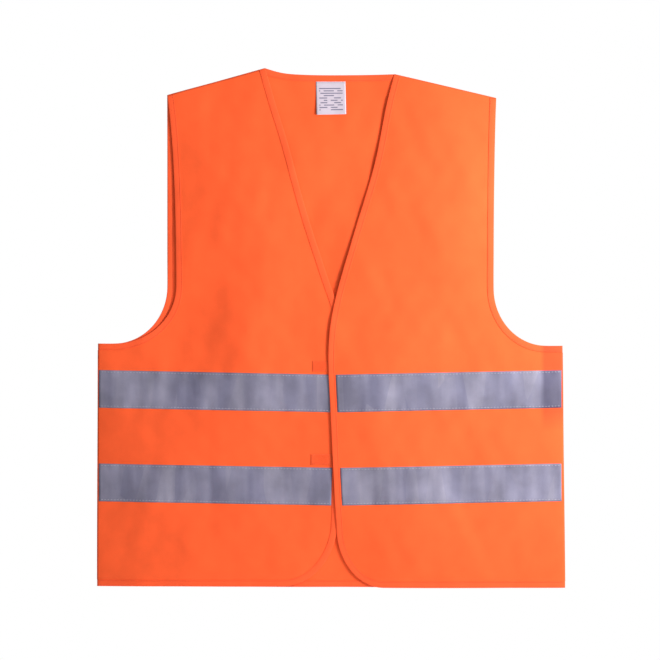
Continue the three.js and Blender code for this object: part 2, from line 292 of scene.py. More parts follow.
class Cloth:
    """One panel of cloth. Its depth is that of the middle of its thickness. Its faces are -1 on a
    front and 1 on the back, rim is how far it rolls out beside its seams, and loft how far its
    middle stands out."""

    SEAM_HALF = 0.33  # from the middle of a seam to the middle of each panel's cloth
    PUCKER, PUCKER_WIDTH = 0.16, 5  # of the small puckers along the stitches of a tape
    PUCKER_LINE = 2.4  # from a tape's edge to the middle of its puckers

    def __init__(self, loop, faces, bands, rim, loft, extra=()):
        self.loop, self.faces, self.bands, self.rim, self.loft = loop, faces, bands, rim, loft
        self.chains = split(loop, extra)
        self.seams = [c for c in self.chains if self.is_side(c) or self.is_shoulder(c)]
        self.ripple = Waves(7, 22, 60, 0.02)
        self.pucker = rng.uniform(0, 6, 4)

    @staticmethod
    def is_side(chain):
        """Whether the chain is the straight edge between the underarm and the hem."""
        return np.abs(chain[:, 0]).min() > SIDE_OUT and np.ptp(chain[:, 0]) < SIDE_LEAN

    @staticmethod
    def is_shoulder(chain):
        """Whether the chain is the edge that is sewn at a shoulder."""
        return chain[:, 1].min() > HIGH and np.abs(chain[:, 0]).max() > SHOULDER_OUT

    @staticmethod
    def is_armhole(chain):
        """Whether the chain is the edge round an arm."""
        out = np.abs(chain[:, 0])
        return out.max() > SIDE_OUT and ARMHOLE_IN[0] < out.min() < ARMHOLE_IN[1]

    def edges(self):
        """The chains of the free, bound edges other than the armholes."""
        held = (self.is_side, self.is_shoulder, self.is_armhole)
        return [c for c in self.chains if not any(test(c) for test in held)]

    def overlap(self, x, z, from_edge):
        """How much further out it lies where something is under it."""
        return 0

    def depth(self, x, z):
        """Depth of the middle of its thickness."""
        x, z = np.asarray(x, float), np.asarray(z, float)
        from_seam = away(x, z, self.seams)
        from_edge = away(x, z, self.chains)
        body = step(np.abs(x), 30, 120) * (1 - 0.5 * step(np.abs(x), 200, 300))
        out = self.SEAM_HALF + self.rim * ease(from_seam, 5)
        out = out + self.loft * ease(from_edge, 45) * body * ease(from_seam, 40)
        out = out + self.overlap(x, z, from_edge)
        sewn = np.zeros(np.shape(x))
        for i, band in enumerate(self.bands):
            for k, edge in enumerate(band.edges(x)):
                inner = edge + (self.PUCKER_LINE if k else -self.PUCKER_LINE)
                phase = self.pucker[2 * i + k]
                wave = np.sin(x / 2.7 + 1.9 * np.sin(x / 21 + phase) + phase)
                sewn += self.PUCKER * wave * np.exp(-(((z - inner) / self.PUCKER_WIDTH) ** 2))
        small = self.ripple(x, z) * (0.35 + 0.65 * ease(from_edge, 30)) + sewn
        return shared(x, z) + self.faces * out + small

    def face(self, x, z, height):
        """Depth at a height above the outer face of the cloth, or below its inner face if the
        height is negative."""
        lift = CLOTH / 2 + abs(height)
        return self.depth(x, z) + self.faces * math.copysign(lift, height)


class LeftFront(Cloth):
    """The front that lies over the other one, and stands clear of it and of the patches."""

    CLEAR, CURL, CURL_WIDTH = 1.7, 0.9, 12
    OVER_SIDE, OVER_TOP, OVER_FOOT = (45, 110), (190, 290), (585, 640)  # where it comes to an end

    def overlap(self, x, z, from_edge):
        along = (0.5 + 0.5 * np.sin(z / 29 + 1.1)) ** 2
        curl = self.CURL * np.exp(-from_edge / self.CURL_WIDTH) * along
        beside = 1 - step(x, *self.OVER_SIDE)
        over_right = beside * step(-z, *self.OVER_TOP) * (1 - step(-z, *self.OVER_FOOT))
        return (self.CLEAR + curl) * over_right


LEFT_BANDS = [Band(f"left_{k}_tape_flap", f"left_{k}_tape_side") for k in ("upper", "lower")]
RIGHT_BANDS = [Band(f"right_{k}_tape_flap", f"right_{k}_tape_side") for k in ("upper", "lower")]
BACK_BANDS = [Band(f"back_{k}_tape") for k in ("upper", "lower")]
NECK_POINTS = [(LEFT_FOLD, 0), (RIGHT_FOLD, 0)]

left = LeftFront(LEFT_LOOP, -1, LEFT_BANDS, rim=0.85, loft=2.4)
right = Cloth(RIGHT_LOOP, -1, RIGHT_BANDS, rim=0.75, loft=2.0)
back = Cloth(BACK_LOOP, 1, BACK_BANDS, rim=0.55, loft=2.2, extra=NECK_POINTS)


# ---- Meshes ----


def made(name, points, faces, material, rest=None, thickness=0.0):
    """A mesh object from points in millimetres. Its rest attribute is where each point is on the
    unfolded vest, which the materials use."""
    points = np.asarray(points, float) * MM
    mesh = bpy.data.meshes.new(name)
    mesh.from_pydata(points.tolist(), [], faces)
    mesh.validate()
    attribute = mesh.attributes.new("rest", "FLOAT_VECTOR", "POINT")
    values = points if rest is None else np.asarray(rest, float) * MM
    attribute.data.foreach_set("vector", values.astype(np.float32).ravel())
    mesh.shade_smooth()
    mesh.materials.append(material)
    piece = bpy.data.objects.new(name, mesh)
    bpy.context.scene.collection.objects.link(piece)
    if thickness:
        solid = piece.modifiers.new("thickness", "SOLIDIFY")
        solid.thickness = thickness * MM
        solid.offset = 0
    return piece


def woven(name, x, y, z, facing, material, thickness, rest=None):
    """A sheet from a grid of points. It faces the front where facing is negative."""
    columns, rows = x.shape
    faces = []
    for i in range(columns - 1):
        for j in range(rows - 1):
            a, b = i * rows + j, (i + 1) * rows + j
            faces.append((a, a + 1, b + 1, b) if facing < 0 else (a, b, b + 1, a + 1))
    points = np.stack([x.ravel(), y.ravel(), z.ravel()], axis=1)
    return made(name, points, faces, material, rest=rest, thickness=thickness)


def inside(x, z, loop):
    """Whether each point is inside a closed outline."""
    found = np.zeros(len(x), bool)
    for a, b in zip(loop, np.roll(loop, -1, axis=0)):
        crosses = (a[1] > z) != (b[1] > z)
        with np.errstate(divide="ignore", invalid="ignore"):
            at = a[0] + (z - a[1]) / (b[1] - a[1]) * (b[0] - a[0])
        found ^= crosses & (x < at)
    return found


def panel(name, cloth, material, finely=None):
    """The whole panel as one sheet, with close columns of points where it bends, and a row of
    points a little inside its edges, where the cloth rolls in to the seams."""
    chains = [even(c, GRID, finely) for c in cloth.chains]
    ring = np.concatenate([c[:-1] for c in chains])
    closed = [np.concatenate([ring, ring[:1]])]
    second = np.concatenate([inward(c, ROLLED)[1:-1] for c in chains])
    second = second[away(second[:, 0], second[:, 1], closed) > ROLLED * 0.97]
    low, high = ring.min(0), ring.max(0)
    columns = np.arange(low[0] + GRID / 2, high[0], GRID)
    if finely is not None:
        columns = columns[(columns < finely[0] - 1) | (columns > finely[1] + 1)]
        columns = np.union1d(columns, np.arange(finely[0], finely[1] + 0.01, 1.0))
    rows = np.arange(low[1] + GRID / 2, high[1], GRID)
    x, z = (grid.ravel() for grid in np.meshgrid(columns, rows))
    keep = inside(x, z, ring)
    x, z = x[keep], z[keep]
    keep = away(x, z, closed) > ROLLED + GRID * 0.35
    flat = np.concatenate([ring, second, np.stack([x[keep], z[keep]], axis=1)])
    border = [list(range(len(ring)))]
    triangles_inside = 1
    corner_points = [Vector(p) for p in flat]
    points, _, faces, *_ = delaunay_2d_cdt(corner_points, [], border, triangles_inside, 1e-4)
    x, z = np.array([tuple(p) for p in points]).T
    if cloth.faces > 0:
        faces = [list(reversed(f)) for f in faces]
    points = np.stack([x, cloth.depth(x, z), z], axis=1)
    return made(name, points, faces, material, thickness=CLOTH)


def band_piece(name, cloth, band, material, finely=None):
    """A reflective tape lying on the outer face of its panel."""
    share = np.linspace(0, 1, 120 if finely is not None else 220)
    start, end = band.top[0, 0], band.top[1, 0]
    if finely is not None:
        close = (np.arange(finely[0], finely[1] + 0.01, 1.0) - start) / (end - start)
        share = np.union1d(share, close)
    across = np.linspace(0, 1, 21)
    top_x = start + share * (end - start)
    foot_x = band.foot[0, 0] + share * (band.foot[1, 0] - band.foot[0, 0])
    top_z, foot_z = band.edges(top_x)[0], band.edges(foot_x)[1]
    x = top_x[:, None] + (foot_x - top_x)[:, None] * across
    z = top_z[:, None] + (foot_z - top_z)[:, None] * across
    y = cloth.face(x, z, NEAR + TAPE / 2)
    return woven(name, x, y, z, cloth.faces, material, TAPE)


def swept(chain, profile, depth):
    """Points and faces of a closed profile swept along a chain. The profile's points are how far
    they lie inwards from the chain and how far behind the cloth's middle."""
    rings = []
    for reach, height in profile:
        line = inward(chain, reach)
        y = depth(line[:, 0], line[:, 1]) + height
        rings.append(np.stack([line[:, 0], y, line[:, 1]], axis=1))
    points = np.stack(rings, axis=1).reshape(-1, 3)
    count, size = len(chain), len(profile)
    faces = []
    for i in range(count - 1):
        for j in range(size):
            k = (j + 1) % size
            faces.append((i * size + j, (i + 1) * size + j, (i + 1) * size + k, i * size + k))
    faces.append(tuple(range(size)))
    faces.append(tuple(reversed(range((count - 1) * size, count * size))))
    return points, faces


def joined(parts):
    """Several pairs of points and faces as one pair."""
    points, faces, start = [], [], 0
    for some_points, some_faces in parts:
        points.append(some_points)
        faces += [tuple(start + i for i in face) for face in some_faces]
        start += len(some_points)
    return np.concatenate(points), faces


def binding_profile():
    """Section of the folded binding: a leaf on each face of the cloth, a little full between the
    fold and the stitches, and pressed down under them."""
    half = CLOTH / 2 + NEAR
    outer = [(LEAF_WIDTH, 0.06), (7.2, 0.16), (STITCH_LINE, -0.06)]
    outer += [(5.2, 0.1), (3, 0.16), (1, 0.12)]
    inner = [LEAF_WIDTH, 4, 0.2]
    full = 0.08
    radius = half + LEAF + full
    centre = radius - FOLD_OVER
    far = [(reach, half + LEAF + puff) for reach, puff in outer]
    turns = [math.pi * k / 8 for k in range(9)]
    fold = [(centre - radius * math.sin(t), radius * math.cos(t)) for t in turns]
    near = [(reach, -height) for reach, height in reversed(far)]
    slot_near = [(reach, -half) for reach in inner]
    slot_far = [(reach, half) for reach in reversed(inner)]
    return far + fold + near + slot_near + slot_far


BINDING = binding_profile()


def bound(chain, cloth, finely=None):
    """Points and faces of the binding folded over one edge of a panel."""
    return swept(even(chain, 2.5, finely), BINDING, cloth.depth)


# One stitch: a slim lens of thread that dives into the cloth at both ends
STITCH_SHAPE = [(-0.5, 0, 0), (-0.3, 0.5, 0.2), (-0.3, 0, 0.9), (-0.3, -0.5, 0.2)]
STITCH_SHAPE += [(0.3, 0.5, 0.2), (0.3, 0, 0.9), (0.3, -0.5, 0.2), (0.5, 0, 0)]
STITCH_FACES = [(0, 1, 2), (0, 2, 3), (0, 3, 1), (1, 4, 5, 2), (2, 5, 6, 3), (3, 6, 4, 1)]
STITCH_FACES += [(4, 7, 5), (5, 7, 6), (6, 7, 4)]


def stitches(chain, surface, facing, length=2.5, pitch=3.4, thread=THREAD):
    """A row of stitches along a chain. Surface gives the depth of what they are sewn through, and
    facing is -1 where they show to the front and 1 to the back."""
    line = even(chain, pitch)
    parts = []
    direction = np.diff(line, axis=0)
    direction /= np.linalg.norm(direction, axis=1)[:, None]
    for (x, z), (dx, dz) in zip((line[:-1] + line[1:]) / 2, direction):
        end_x = np.array([x - dx * length / 2, x + dx * length / 2])
        end_z = np.array([z - dz * length / 2, z + dz * length / 2])
        y = surface(end_x, end_z)
        points = []
        for along, side, up in STITCH_SHAPE:
            share = along + 0.5
            points.append(
                (
                    x + dx * along * length - dz * side * thread,
                    y[0] + (y[1] - y[0]) * share + facing * up * thread,
                    z + dz * along * length + dx * side * thread,
                )
            )
        parts.append((np.array(points), STITCH_FACES))
    return joined(parts)


# ---- Materials ----

# Where painted shade darkens the side under the left arm, in metres: across towards the side, and
# up from below
UNDERARM_SHADE_SIDE, UNDERARM_SHADE_FOOT = (0.276, 0.282), (-0.478, -0.452)


class Shader:
    """A material with a Principled shader, built node by node on the rest position."""

    def __init__(self, name, roughness, **sockets):
        self.material = bpy.data.materials.new(name)
        self.material.use_nodes = True
        self.nodes = self.material.node_tree.nodes
        self.links = self.material.node_tree.links
        self.shader = self.nodes["Principled BSDF"]
        self.shader.inputs["Roughness"].default_value = roughness
        for socket, value in sockets.items():
            self.shader.inputs[socket.replace("_", " ")].default_value = value
        rest = self.nodes.new("ShaderNodeAttribute")
        rest.attribute_name = "rest"
        self.rest = rest.outputs["Vector"]

    def node(self, kind, inputs=None, **settings):
        """A new node. Its inputs are given by name or number, as a value or another's output."""
        node = self.nodes.new(f"ShaderNode{kind}")
        for key, value in settings.items():
            setattr(node, key, value)
        for key, value in (inputs or {}).items():
            if isinstance(value, bpy.types.NodeSocket):
                self.links.new(value, node.inputs[key])
            else:
                node.inputs[key].default_value = value
        return node

    def scaled(self, x, y, z):
        """The rest position, scaled along each axis."""
        return self.node("Mapping", {"Vector": self.rest, "Scale": (x, y, z)}).outputs["Vector"]

    def noise(self, scale, detail=2.0, stretch=None):
        """Soft random spots."""
        vector = self.rest if stretch is None else self.scaled(*stretch)
        inputs = {"Vector": vector, "Scale": scale, "Detail": detail}
        return self.node("TexNoise", inputs).outputs["Fac"]

    def waves(self, pitch, direction, **inputs):
        """Bands of waves whose crests are pitch millimetres apart."""
        scale = 2 * math.pi / (20 * pitch * MM)
        inputs = {"Vector": self.rest, "Scale": scale, **inputs}
        return self.node("TexWave", inputs, bands_direction=direction).outputs["Fac"]

    def cells(self, scale):
        """Small round dimples, packed at random."""
        inputs = {"Vector": self.rest, "Scale": scale}
        return self.node("TexVoronoi", inputs).outputs["Distance"]

    def ramp(self, value, *stops):
        """Colours by value. Each stop is a position and a colour."""
        node = self.node("ValToRGB", {"Fac": value})
        elements = node.color_ramp.elements
        for element, (position, _) in zip(elements, (stops[0], stops[-1])):
            element.position = position
        for position, _ in stops[1:-1]:
            elements.new(position)
        for element, (_, colour) in zip(elements, stops):
            element.color = (*colour, 1)
        return node.outputs["Color"]

    def mix(self, share, a, b, blend="MIX"):
        """Two colours, mixed by a share of the second one."""
        factor, first, second = 0, 6, 7  # the node's inputs when it mixes colours
        node = self.node("Mix", data_type="RGBA", blend_type=blend)
        for key, value in ((factor, share), (first, a), (second, b)):
            if isinstance(value, bpy.types.NodeSocket):
                self.links.new(value, node.inputs[key])
            else:
                node.inputs[key].default_value = value if key == factor else (*value, 1)
        return node.outputs[2]

    def maths(self, operation, a, b=0.0):
        """The result of one operation on one or two numbers."""
        return self.node("Math", {0: a, 1: b}, operation=operation).outputs[0]

    def rises(self, value, low, high):
        """0 below the low value and 1 above the high one."""
        inputs = {"Value": value, "From Min": low, "From Max": high}
        return self.node("MapRange", inputs).outputs["Result"]

    def painted_underarm_shade(self, colour, shade):
        """The colour again, darker with painted shade at the side under the left arm."""
        parts = self.node("SeparateXYZ", {0: self.rest})
        beside = self.rises(parts.outputs["X"], *UNDERARM_SHADE_SIDE)
        above = self.rises(parts.outputs["Z"], *UNDERARM_SHADE_FOOT)
        share = self.maths("MULTIPLY", beside, above)
        return self.mix(share, colour, self.mix(1.0, colour, shade, "MULTIPLY"))

    def finish(self, colour, heights, roughness=None):
        """Joins up the colour, a chain of bumps given as height, distance in metres and
        strength, and the roughness."""
        self.links.new(colour, self.shader.inputs["Base Color"])
        normal = None
        for height, distance, strength in heights:
            inputs = {"Height": height, "Distance": distance, "Strength": strength}
            if normal is not None:
                inputs["Normal"] = normal
            normal = self.node("Bump", inputs).outputs["Normal"]
        if normal is not None:
            self.links.new(normal, self.shader.inputs["Normal"])
        if roughness is not None:
            self.links.new(roughness, self.shader.inputs["Roughness"])
        return self.material


def tone(colour, factor):
    """The colour, lighter or darker by a factor."""
    return tuple(min(1.0, c * factor) for c in colour)


def grey(value):
    """A colour without a tint."""
    return (value, value, value)


def knit(shader, wale=1.15, course=0.95):
    """Height of a fine warp knit: columns of small loops in rows."""
    columns = shader.waves(wale, "X", Distortion=0.35, Detail=1.0)
    rows = shader.waves(course, "Z", Distortion=0.5, Detail=1.0)
    return shader.maths("MULTIPLY", columns, shader.maths("ADD", rows, 0.6))


def cloth_material(name, colour, uneven=0.05, under_arm_shade=None):
    """Matt knitted polyester with slow changes of tone, fine loops and a little fluff."""
    shader = Shader(name, 0.82, Specular_IOR_Level=0.12, Sheen_Weight=0.06, Sheen_Roughness=0.5)
    slow = shader.noise(9, 3, (1.0, 1.0, 0.55))
    soft = shader.noise(38, 3)
    loops = knit(shader)
    fluff = shader.noise(2600, 2)
    base = shader.ramp(slow, (0.3, tone(colour, 1 - uneven)), (0.7, tone(colour, 1 + uneven)))
    fine = shader.ramp(loops, (0.0, grey(0.93)), (0.9, grey(1.04)))
    patch = shader.ramp(soft, (0.35, grey(0.965)), (0.65, grey(1.03)))
    colour_out = shader.mix(1.0, shader.mix(1.0, base, fine, "MULTIPLY"), patch, "MULTIPLY")
    # painted shade at the side under the left arm, for the fronts and the arm binding
    if under_arm_shade is not None:
        colour_out = shader.painted_underarm_shade(colour_out, under_arm_shade)
    rough = shader.ramp(fluff, (0.3, grey(0.76)), (0.7, grey(0.88)))
    heights = [(soft, 0.0002, 0.2), (loops, 0.00012, 0.5), (fluff, 0.00005, 0.35)]
    return shader.finish(colour_out, heights, rough)


def tape_material(name, colour, under_arm_shade=None):
    """Glass bead tape: a fine grain of beads, with cloudy light and dark patches and upright
    bands where the beads look back at the light."""
    shader = Shader(name, 0.45, Metallic=0.15, Specular_IOR_Level=0.35)
    cloudy = shader.noise(24, 3)
    upright = shader.noise(11, 2, (4.0, 1.0, 0.5))
    beads = shader.cells(1500.0)
    cloth = shader.waves(1.6, "Z")
    large = shader.node("TexVoronoi", {"Vector": shader.scaled(34, 1, 7), "Scale": 1.0})
    facets = shader.node("SeparateColor", {"Color": large.outputs["Color"]}).outputs["Red"]
    dim, bright = tone(colour, 0.82), tone(colour, 1.18)
    base = shader.ramp(cloudy, (0.32, dim), (0.5, colour), (0.68, bright))
    bands = shader.ramp(upright, (0.36, (0.84, 0.84, 0.87)), (0.64, (1.16, 1.15, 1.1)))
    facet_tone = shader.ramp(facets, (0.0, (0.9, 0.91, 0.95)), (1.0, (1.1, 1.1, 1.06)))
    bands = shader.mix(1.0, bands, facet_tone, "MULTIPLY")
    grain = shader.ramp(beads, (0.0, grey(1.07)), (0.6, grey(0.93)))
    colour_out = shader.mix(1.0, shader.mix(1.0, base, bands, "MULTIPLY"), grain, "MULTIPLY")
    # painted shade at the side under the left arm, for the front tapes
    if under_arm_shade is not None:
        colour_out = shader.painted_underarm_shade(colour_out, under_arm_shade)
    rough = shader.ramp(cloudy, (0.3, grey(0.5)), (0.7, grey(0.38)))
    heights = [(cloudy, 0.0008, 0.2), (cloth, 0.00004, 0.25), (beads, 0.00008, 0.4)]
    return shader.finish(colour_out, heights, rough)


def thread_material(name, colour):
    """Spun polyester thread: a tight twist and small changes of tone from stitch to stitch."""
    shader = Shader(name, 0.6, Specular_IOR_Level=0.3)
    twist = shader.waves(0.35, "DIAGONAL")
    each = shader.noise(300, 1)
    base = shader.ramp(each, (0.35, tone(colour, 0.88)), (0.65, tone(colour, 1.1)))
    dark = shader.ramp(twist, (0.0, grey(0.86)), (0.8, grey(1.04)))
    return shader.finish(shader.mix(1.0, base, dark, "MULTIPLY"), [(twist, 0.00005, 0.5)])


def fastener_material(name, colour, scale):
    """Hook or loop tape: a deep, rough pile."""
    shader = Shader(name, 0.95, Specular_IOR_Level=0.1, Sheen_Weight=0.1, Sheen_Roughness=0.4)
    pile = shader.cells(scale)
    fluff = shader.noise(scale * 2, 3)
    base = shader.ramp(pile, (0.0, tone(colour, 1.12)), (0.7, tone(colour, 0.85)))
    shade = shader.ramp(fluff, (0.3, grey(0.9)), (0.7, grey(1.06)))
    heights = [(fluff, 0.0002, 0.5), (pile, 0.0002, 0.5)]
    return shader.finish(shader.mix(1.0, base, shade, "MULTIPLY"), heights)


def label_material(name, colour, ink):
    """White satin ribbon with rows of plain grey bars where a label has its print."""
    line_height, bar_unit, margin = 3.1, 4.5, 4
    shader = Shader(name, 0.5, Specular_IOR_Level=0.3, Sheen_Weight=0.1)
    low, high = LABEL_BOX
    parts = shader.node("SeparateXYZ", {0: shader.rest})
    x, z = parts.outputs["X"], parts.outputs["Z"]

    def between(value, least, most):
        over = shader.maths("GREATER_THAN", value, least)
        return shader.maths("MULTIPLY", over, shader.maths("LESS_THAN", value, most))

    from_top = shader.maths("SUBTRACT", high[2] * MM, z)
    row = shader.maths("DIVIDE", from_top, line_height * MM)
    bar = between(shader.maths("FRACT", row), 0.3, 0.72)
    place = shader.node("CombineXYZ", {0: x, 1: 0.0, 2: shader.maths("FLOOR", row)}).outputs[0]
    scale = (1 / (bar_unit * MM), 1.0, 5.37)
    spots = shader.node("Mapping", {"Vector": place, "Scale": scale}).outputs[0]
    whole = shader.node("VectorMath", {0: spots}, operation="FLOOR").outputs[0]
    broken = shader.node("TexWhiteNoise", {"Vector": whole})
    kept = shader.maths("GREATER_THAN", broken.outputs["Value"], 0.34)
    across = between(x, (low[0] + margin) * MM, (high[0] - margin) * MM)
    down = between(row, 2.0, 12.0)
    bars = shader.maths("MULTIPLY", bar, kept)
    print_mask = shader.maths("MULTIPLY", bars, shader.maths("MULTIPLY", across, down))
    weave = shader.waves(0.45, "X")
    slow = shader.noise(60, 2)
    base = shader.ramp(slow, (0.3, tone(colour, 0.94)), (0.7, tone(colour, 1.03)))
    fine = shader.ramp(weave, (0.0, grey(0.95)), (1.0, grey(1.02)))
    cloth = shader.mix(1.0, base, fine, "MULTIPLY")
    return shader.finish(shader.mix(print_mask, cloth, ink), [(weave, 0.00003, 0.4)])


ORANGE = (0.95, 0.112, 0.029)
EDGE_ORANGE = (0.95, 0.107, 0.032)
SEAM_ORANGE = (0.9, 0.1, 0.027)
SILVER = (0.215, 0.207, 0.3)
ORANGE_UNDERARM_SHADE = (0.97, 0.68, 0.8)  # what the colours are multiplied by for the painted shade under the left arm
SILVER_UNDERARM_SHADE = (0.5, 0.48, 0.54)

cloth_finish = cloth_material("orange_knit", ORANGE)
# the front, arm binding and front tape finishes carry painted shade at the side under the left arm
front_painted_shade_finish = cloth_material("orange_knit_front_painted_shade", ORANGE, under_arm_shade=ORANGE_UNDERARM_SHADE)
binding_finish = cloth_material("orange_binding", EDGE_ORANGE, 0.03)
arm_painted_shade_finish = cloth_material("orange_arm_binding_painted_shade", EDGE_ORANGE, 0.03, ORANGE_UNDERARM_SHADE)
seam_finish = cloth_material("orange_seam", SEAM_ORANGE, 0.04)
tape_finish = tape_material("silver_tape", SILVER)
front_tape_painted_shade_finish = tape_material("silver_tape_front_painted_shade", SILVER, SILVER_UNDERARM_SHADE)
orange_thread = thread_material("orange_thread", (0.8, 0.075, 0.024))
silver_thread = thread_material("silver_thread", (0.5, 0.48, 0.58))
white_thread = thread_material("white_thread", (0.75, 0.74, 0.78))
hook_finish = fastener_material("orange_hooks", (0.95, 0.11, 0.033), 700)
loop_finish = fastener_material("orange_loops", (0.98, 0.125, 0.038), 1100)
label_finish = label_material("label_satin", (0.57, 0.5, 0.6), (0.15, 0.14, 0.22))


# ---- Panels, bindings, tapes and their stitches ----

# Where the points of each front lie close together, for its bend
finely = {
    "left": (LEFT_FOLD - BEND - 1, LEFT_FOLD + 1),
    "right": (RIGHT_FOLD - 1, RIGHT_FOLD + BEND + 1),
}
fronts = {"left": left, "right": right}


def bend(piece):
    """Bakes the piece's transform into its mesh."""
    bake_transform(piece)


def binding_rows(chain, cloth, fine):
    """The two rows of stitches of a binding, one on each leaf."""
    line = inward(even(chain, 3, fine), STITCH_LINE)[1:-1]
    sunk = 0.05
    lift = NEAR + LEAF - sunk
    return [
        stitches(line, lambda x, z: cloth.face(x, z, lift), cloth.faces),
        stitches(line, lambda x, z: cloth.face(x, z, -lift), -cloth.faces),
    ]


def band_rows(cloth, band):
    """The rows of stitches along both edges of a tape."""

    def surface(x, z):
        return cloth.face(x, z, NEAR + TAPE)

    rows = []
    for ends, inset in ((band.top, -TAPE_STITCH_LINE), (band.foot, TAPE_STITCH_LINE)):
        line = np.array([ends[0] + (2, inset), ends[1] + (-2, inset)])
        rows.append(stitches(line, surface, cloth.faces, length=2.9, pitch=4.2, thread=0.55))
    return rows


def front(side):
    """One front: its cloth, the binding along its free edges, its tapes and their stitches."""
    cloth, fine = fronts[side], finely[side]
    sheet = panel(f"{side}_front_cloth", cloth, front_painted_shade_finish, fine)
    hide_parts(f"{side}_front_flap", f"{side}_front_side")
    bend(sheet)

    edge = cloth.edges()[0]
    strip = made(f"{side}_front_binding", *bound(edge, cloth, fine), binding_finish)
    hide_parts(f"{side}_front_edge_binding", f"{side}_neck_binding", f"{side}_hem_binding")
    bend(strip)
    rows = binding_rows(edge, cloth, fine)
    thread = made(f"{side}_binding_stitches", *joined(rows), orange_thread)
    bend(thread)

    rows = []
    for level, band in zip(("upper", "lower"), cloth.bands):
        tape = band_piece(f"{side}_{level}_tape", cloth, band, front_tape_painted_shade_finish, fine)
        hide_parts(*band.nodes)
        bend(tape)
        rows += band_rows(cloth, band)
    thread = made(f"{side}_tape_stitches", *joined(rows), silver_thread)
    bend(thread)


def back_pieces():
    """The back: its cloth, the bindings of its neck and hem, its tapes and their stitches."""
    sheet = panel("back_cloth", back, cloth_finish)
    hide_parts("back_panel")
    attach(sheet, "shell")
    rows = []
    for chain in back.edges():
        where = "neck" if chain[:, 1].mean() > HIGH else "hem"
        strip = made(f"back_{where}_edge", *bound(chain, back), binding_finish)
        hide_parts(f"back_{where}_binding")
        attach(strip, "shell")
        rows += binding_rows(chain, back, None)
    thread = made("back_binding_stitches", *joined(rows), orange_thread)
    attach(thread, "shell")
    rows = []
    for level, band in zip(("upper", "lower"), back.bands):
        tape = band_piece(f"back_{level}_reflector", back, band, tape_finish)
        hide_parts(*band.nodes)
        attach(tape, "shell")
        rows += band_rows(back, band)
    thread = made("back_tape_stitches", *joined(rows), silver_thread)
    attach(thread, "shell")


def armhole(side):
    """One binding all the way round the armhole, on the front and on the back."""
    sign = 1 if side == "left" else -1
    front_chain = next(c for c in fronts[side].chains if Cloth.is_armhole(c))
    back_chain = next(c for c in back.chains if Cloth.is_armhole(c) and c[0, 0] * sign > 0)
    parts = [bound(front_chain, fronts[side]), bound(back_chain, back)]
    strip = made(f"{side}_armhole_edge", *joined(parts), arm_painted_shade_finish)
    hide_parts(f"{side}_armhole_binding")
    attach(strip, "shell")
    rows = binding_rows(front_chain, fronts[side], None) + binding_rows(back_chain, back, None)
    thread = made(f"{side}_armhole_stitches", *joined(rows), orange_thread)
    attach(thread, "shell")


def seam_profile():
    """Section of a seam: a small rounded ridge outside, and the two trimmed allowances inside."""
    radius, inset = 0.5, 0.1
    turns = np.linspace(0, math.pi, 7)
    ridge = [(inset - radius * math.sin(t), radius * math.cos(t)) for t in turns]
    near = [(1, -0.16), (2.5, -0.24), (5.5, -0.36), (SEAM_DEPTH, -0.26)]
    far = [(reach, -height) for reach, height in reversed(near)]
    return ridge + near + far


def seam(side, where):
    """The seam that joins a front to the back at the side or at the shoulder."""
    test = Cloth.is_side if where == "side" else Cloth.is_shoulder
    chain = next(c for c in fronts[side].chains if test(c))
    line = even(chain, 4)
    if where == "side":
        line = line[2:-2]
    points, faces = swept(line, seam_profile(), shared)
    piece = made(f"{side}_{where}_seam_ridge", points, faces, seam_finish)
    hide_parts(f"{side}_{where}_seam")
    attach(piece, "shell")


def label():
    """A satin label sewn in below the neck binding: a narrow strip that is sewn down, and below
    it the part that hangs free, a little off the cloth."""
    low, high = LABEL_BOX
    tilt = math.tan(math.radians(1.3))
    hinge = high[2]
    gap = 0.15  # between the ribbon and the cloth where it is sewn down
    sewn_width = 1.9

    def back_inside(x, z):
        return back.face(x, z, -1e-6)

    def ribbon(name, top, foot, rows):
        u, z = np.meshgrid(np.linspace(0, 1, 25), np.linspace(top, foot, rows), indexing="ij")
        x = low[0] + u * (high[0] - low[0])
        below = np.maximum(hinge - z, 0) / (hinge - low[2])
        lift = LABEL / 2 + gap + 1.7 * below**2 + 0.5 * np.sin(u * 3.4 + 0.6) * below
        across = x + (hinge - z) * tilt
        down = z + (x - high[0]) * tilt * below
        y = back_inside(across, down) - lift
        rest = np.stack([x.ravel(), np.zeros(x.size), z.ravel()], axis=1)
        return woven(name, across, y, down, -1, label_finish, LABEL, rest)

    piece = ribbon("label_ribbon", hinge, low[2], 29)
    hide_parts("care_label")
    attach(piece, "label")
    strip = ribbon("label_sewn_edge", hinge + sewn_width, hinge, 3)
    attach(strip, "shell")
    line = hinge + 0.9
    top = np.array([[low[0] + 1.2, line], [high[0] - 1.6, line]])
    row = stitches(top, lambda x, z: back_inside(x, z) - gap - LABEL, -1, 1.8, 2.5)
    thread = made("label_stitches", *row, white_thread)
    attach(thread, "shell")


